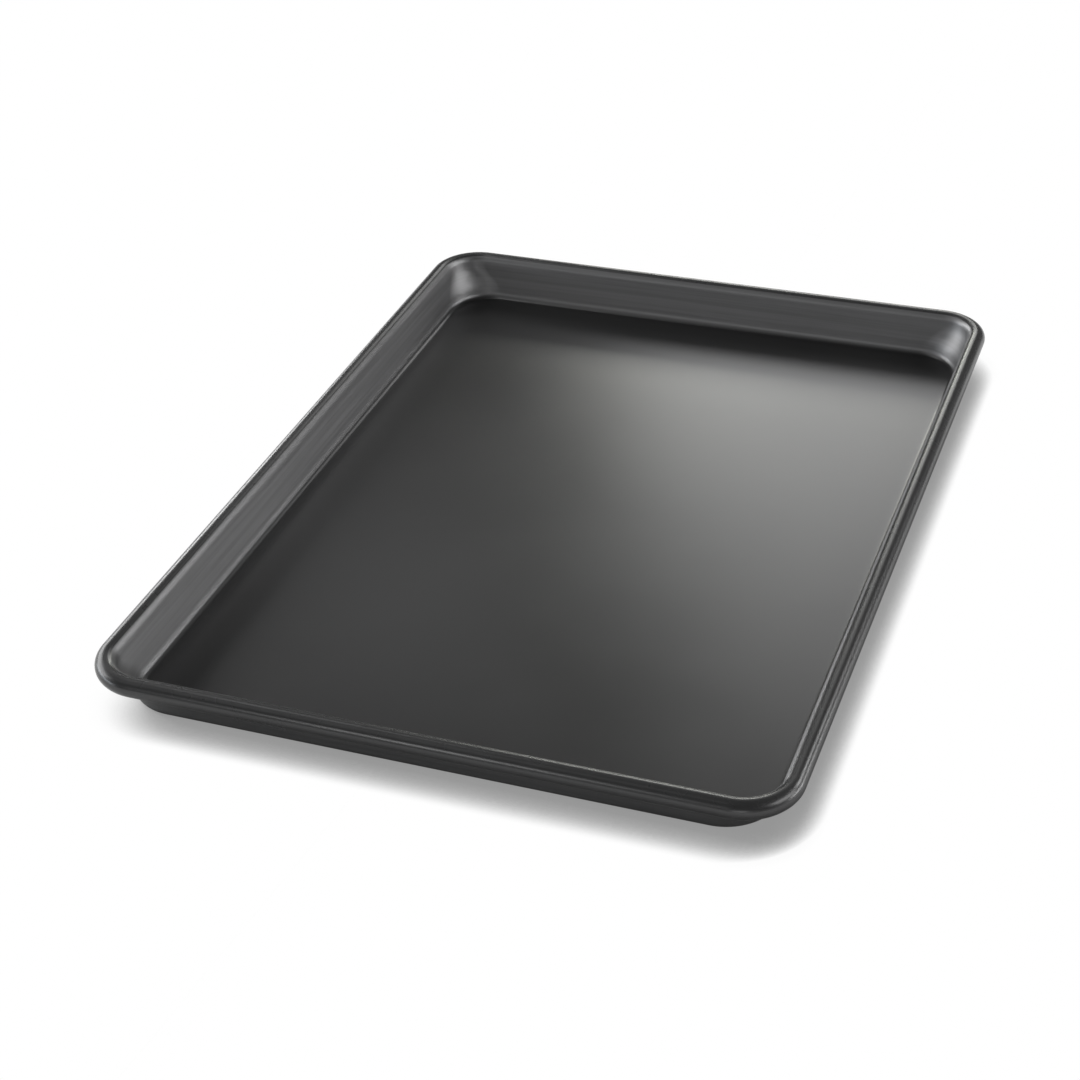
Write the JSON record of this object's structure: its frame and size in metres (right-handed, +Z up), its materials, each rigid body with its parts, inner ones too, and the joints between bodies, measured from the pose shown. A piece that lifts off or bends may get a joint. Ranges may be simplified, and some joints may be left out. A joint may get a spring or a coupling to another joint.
{
  "type": "jelly roll pan",
  "caption": "Shallow rectangular baking pan, drawn in one sheet with rounded corners, walls that lean outwards and an edge rolled round a wire, for sponge sheets, biscuits and roasting.",
  "frame": {"origin": "on the table, under the middle of the pan", "axes": "+X along the short side, +Y along the long side, +Z up out of the pan"},
  "size_m": [0.33, 0.457, 0.0254],
  "materials": {
    "dark_sheet": "dark charcoal satin coating, smooth, with faint lengthwise drawing marks on the walls",
    "zinc_wire": "dull galvanised wire"
  },
  "bodies": {
    "root": {"pan_body": "dark_sheet", "rim_wire": "zinc_wire"}
  },
  "joints": []
}
